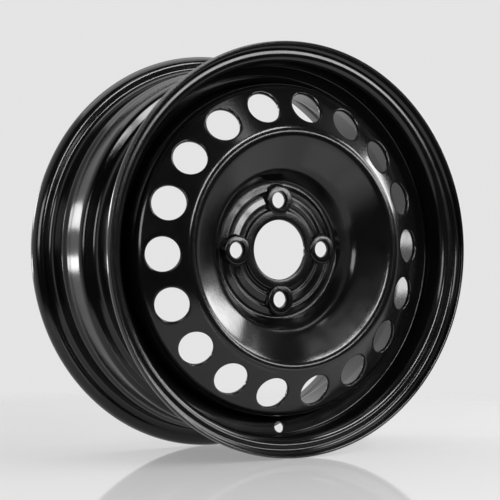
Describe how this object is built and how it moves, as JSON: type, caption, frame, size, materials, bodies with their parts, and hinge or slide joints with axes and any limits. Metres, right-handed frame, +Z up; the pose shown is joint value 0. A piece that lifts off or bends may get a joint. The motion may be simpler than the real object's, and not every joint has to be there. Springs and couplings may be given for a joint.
{
  "type": "steel wheel",
  "caption": "Pressed steel car wheel: a rolled drop-centre rim with a dished, vented disc welded inside it, bolted to a hub through conical seats round its centre bore.",
  "frame": {"origin": "wheel centre: on the spin axis, in the rim's middle plane", "axes": "+Y along the spin axis from the street side towards the car, +Z up, +X to the right seen from the street; a bolt hole lies on +X"},
  "size_m": [0.4147, 0.1804, 0.4148],
  "materials": {
    "rim_coat": "black dip-coated steel, satin with a fine orange-peel grain",
    "disc_coat": "black dip-coated pressed steel, satin with a fine orange-peel grain",
    "weld_coat": "black coat over a rippled weld bead"
  },
  "bodies": {
    "root": {"rim": "rim_coat", "disc": "disc_coat", "weld_beads": "weld_coat"}
  },
  "joints": []
}
